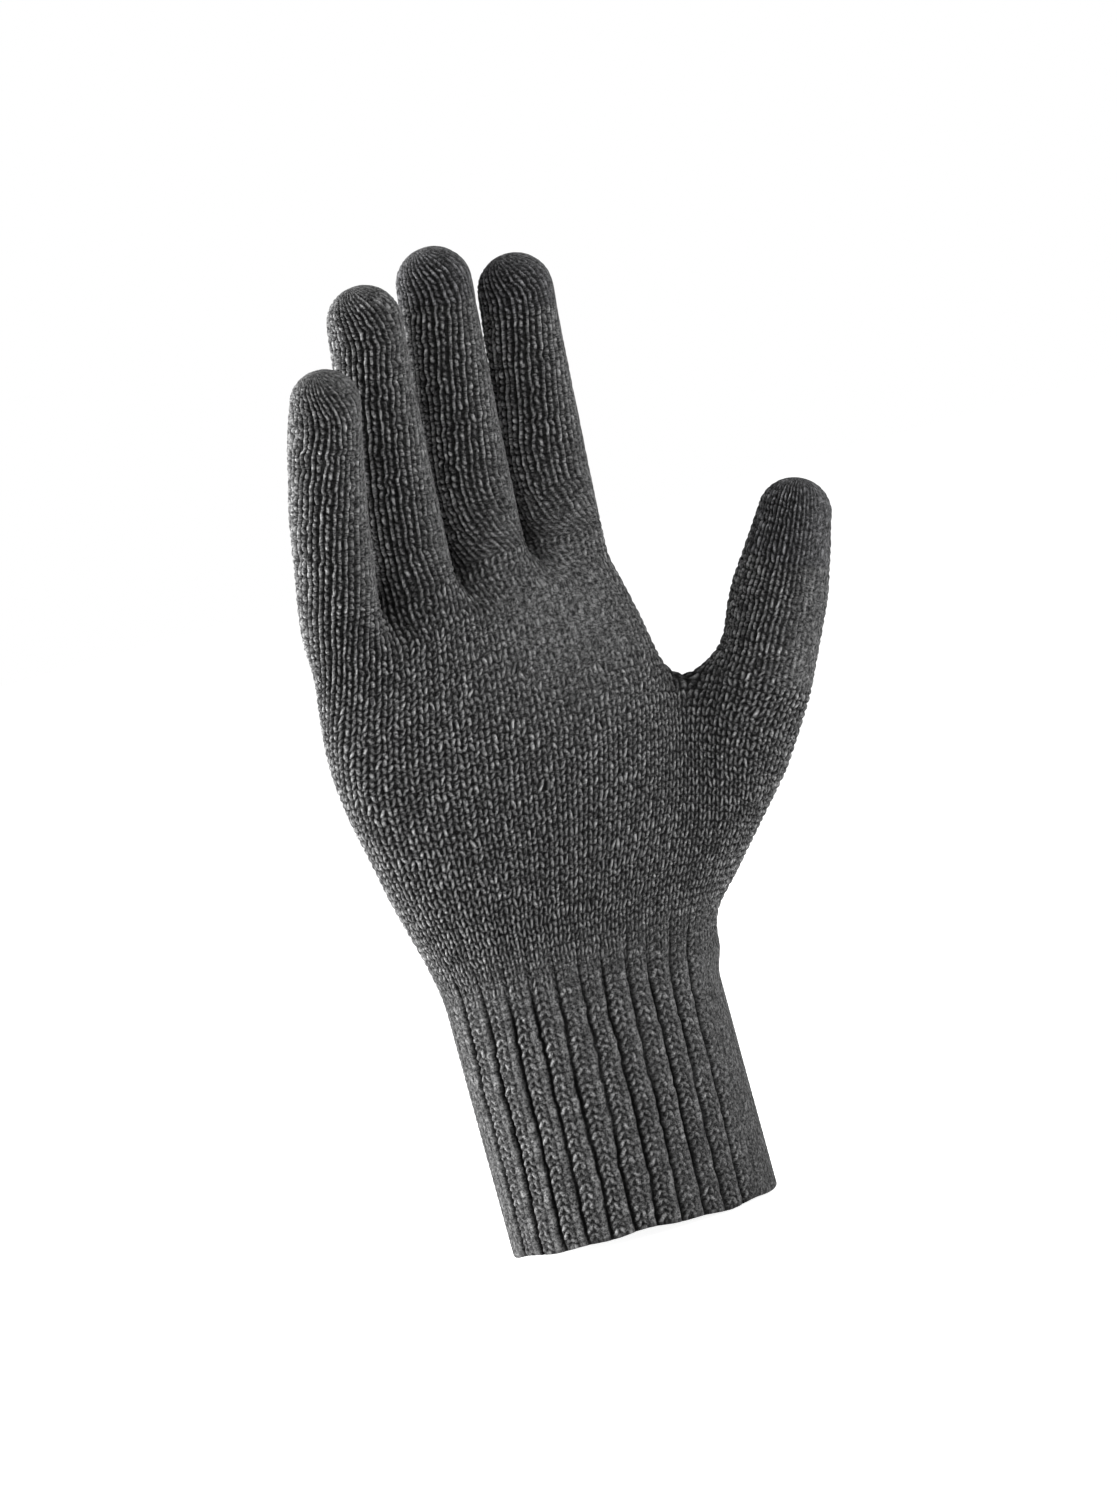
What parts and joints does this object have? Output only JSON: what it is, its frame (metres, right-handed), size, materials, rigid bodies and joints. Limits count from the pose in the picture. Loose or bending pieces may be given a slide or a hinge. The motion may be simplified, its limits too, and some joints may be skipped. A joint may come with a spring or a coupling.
{
  "type": "touchscreen glove",
  "caption": "Close-fitting knitted glove with a deep rib cuff, plain knit palm and jointed finger sleeves, and conductive yarn tips for touchscreens.",
  "frame": {"origin": "centre of the wrist opening, in the plane of the hem", "axes": "+Z from the hem along the hand to the fingertips, +X to the thumb side, +Y to the back of the hand"},
  "size_m": [0.1413, 0.054, 0.2439],
  "materials": {
    "knit_yarn": "matte heathered plain knit",
    "rib_yarn": "matte heathered rib knit",
    "touch_yarn": "matte fine knit of conductive yarn",
    "elastic_yarn": "matte covered elastic yarn"
  },
  "bodies": {
    "cuff": {"cuff_welt": "rib_yarn", "rib_cuff": "rib_yarn", "cuff_elastic": "elastic_yarn"},
    "palm": {"palm_shell": "knit_yarn"},
    "index_lower": {"index_lower_sleeve": "knit_yarn"},
    "index_middle": {"index_middle_sleeve": "knit_yarn"},
    "index_upper": {"index_upper_sleeve": "knit_yarn", "index_touch_tip": "touch_yarn"},
    "middle_lower": {"middle_lower_sleeve": "knit_yarn"},
    "middle_middle": {"middle_middle_sleeve": "knit_yarn"},
    "middle_upper": {"middle_upper_sleeve": "knit_yarn", "middle_touch_tip": "touch_yarn"},
    "ring_lower": {"ring_lower_sleeve": "knit_yarn"},
    "ring_middle": {"ring_middle_sleeve": "knit_yarn"},
    "ring_upper": {"ring_upper_sleeve": "knit_yarn"},
    "little_lower": {"little_lower_sleeve": "knit_yarn"},
    "little_middle": {"little_middle_sleeve": "knit_yarn"},
    "little_upper": {"little_upper_sleeve": "knit_yarn"},
    "thumb_lower": {"thumb_lower_sleeve": "knit_yarn"},
    "thumb_upper": {"thumb_upper_sleeve": "knit_yarn", "thumb_touch_tip": "touch_yarn"}
  },
  "joints": [
    {"name": "wrist_fold", "type": "hinge", "parent": "cuff", "child": "palm", "pos_m": [0, -0.021, 0.06], "axis": [1, 0, 0], "range_deg": [0, 50], "stiffness_Nm_per_rad": 0.12},
    {"name": "index_root_fold", "type": "hinge", "parent": "palm", "child": "index_lower", "pos_m": [0.02747, -0.00726, 0.1641], "axis": [0.9994, 0, -0.0349], "range_deg": [-4.5, 80], "stiffness_Nm_per_rad": 0.012},
    {"name": "index_middle_fold", "type": "hinge", "parent": "index_lower", "child": "index_middle", "pos_m": [0.02851, -0.00978, 0.19398], "axis": [0.9994, 0, -0.0349], "range_deg": [-2.5, 90], "stiffness_Nm_per_rad": 0.006},
    {"name": "index_tip_fold", "type": "hinge", "parent": "index_middle", "child": "index_upper", "pos_m": [0.02922, -0.01223, 0.21432], "axis": [0.9994, 0, -0.0349], "range_deg": [-1.93, 59], "stiffness_Nm_per_rad": 0.004},
    {"name": "middle_root_fold", "type": "hinge", "parent": "palm", "child": "middle_lower", "pos_m": [0.00627, -0.00819, 0.16512], "axis": [0.9993, 0, -0.0384], "range_deg": [-4.5, 80], "stiffness_Nm_per_rad": 0.012},
    {"name": "middle_middle_fold", "type": "hinge", "parent": "middle_lower", "child": "middle_middle", "pos_m": [0.00755, -0.01091, 0.19849], "axis": [0.9993, 0, -0.0384], "range_deg": [-2.5, 90], "stiffness_Nm_per_rad": 0.006},
    {"name": "middle_tip_fold", "type": "hinge", "parent": "middle_middle", "child": "middle_upper", "pos_m": [0.00839, -0.01388, 0.22027], "axis": [0.9993, 0, -0.0384], "range_deg": [-1.93, 59], "stiffness_Nm_per_rad": 0.004},
    {"name": "ring_root_fold", "type": "hinge", "parent": "palm", "child": "ring_lower", "pos_m": [-0.01513, -0.01159, 0.16277], "axis": [0.9998, 0, -0.0209], "range_deg": [-6.5, 80], "stiffness_Nm_per_rad": 0.012},
    {"name": "ring_middle_fold", "type": "hinge", "parent": "ring_lower", "child": "ring_middle", "pos_m": [-0.01446, -0.01529, 0.19455], "axis": [0.9998, 0, -0.0209], "range_deg": [-4.5, 90], "stiffness_Nm_per_rad": 0.006},
    {"name": "ring_tip_fold", "type": "hinge", "parent": "ring_middle", "child": "ring_upper", "pos_m": [-0.01403, -0.01937, 0.21515], "axis": [0.9998, 0, -0.0209], "range_deg": [-3.23, 59], "stiffness_Nm_per_rad": 0.004},
    {"name": "little_root_fold", "type": "hinge", "parent": "palm", "child": "little_lower", "pos_m": [-0.03878, -0.01778, 0.15993], "axis": [0.9962, 0, -0.0872], "range_deg": [-11, 80], "stiffness_Nm_per_rad": 0.012},
    {"name": "little_middle_fold", "type": "hinge", "parent": "little_lower", "child": "little_middle", "pos_m": [-0.03665, -0.02278, 0.18433], "axis": [0.9962, 0, -0.0872], "range_deg": [-7, 90], "stiffness_Nm_per_rad": 0.006},
    {"name": "little_tip_fold", "type": "hinge", "parent": "little_middle", "child": "little_upper", "pos_m": [-0.03524, -0.02813, 0.20042], "axis": [0.9962, 0, -0.0872], "range_deg": [-4.85, 59], "stiffness_Nm_per_rad": 0.004},
    {"name": "thumb_root_fold", "type": "hinge", "parent": "palm", "child": "thumb_lower", "pos_m": [0.05558, -0.0193, 0.11672], "axis": [0.7849, -0.4226, -0.4532], "range_deg": [-5, 45], "stiffness_Nm_per_rad": 0.012},
    {"name": "thumb_tip_fold", "type": "hinge", "parent": "thumb_lower", "child": "thumb_upper", "pos_m": [0.06845, -0.02142, 0.14097], "axis": [0.7849, -0.4226, -0.4532], "range_deg": [-5, 70], "stiffness_Nm_per_rad": 0.004}
  ],
  "couplings": [
    {"joint": "index_tip_fold", "follows": "index_middle_fold", "ratio": 0.65},
    {"joint": "middle_tip_fold", "follows": "middle_middle_fold", "ratio": 0.65},
    {"joint": "ring_tip_fold", "follows": "ring_middle_fold", "ratio": 0.65},
    {"joint": "little_tip_fold", "follows": "little_middle_fold", "ratio": 0.65}
  ]
}
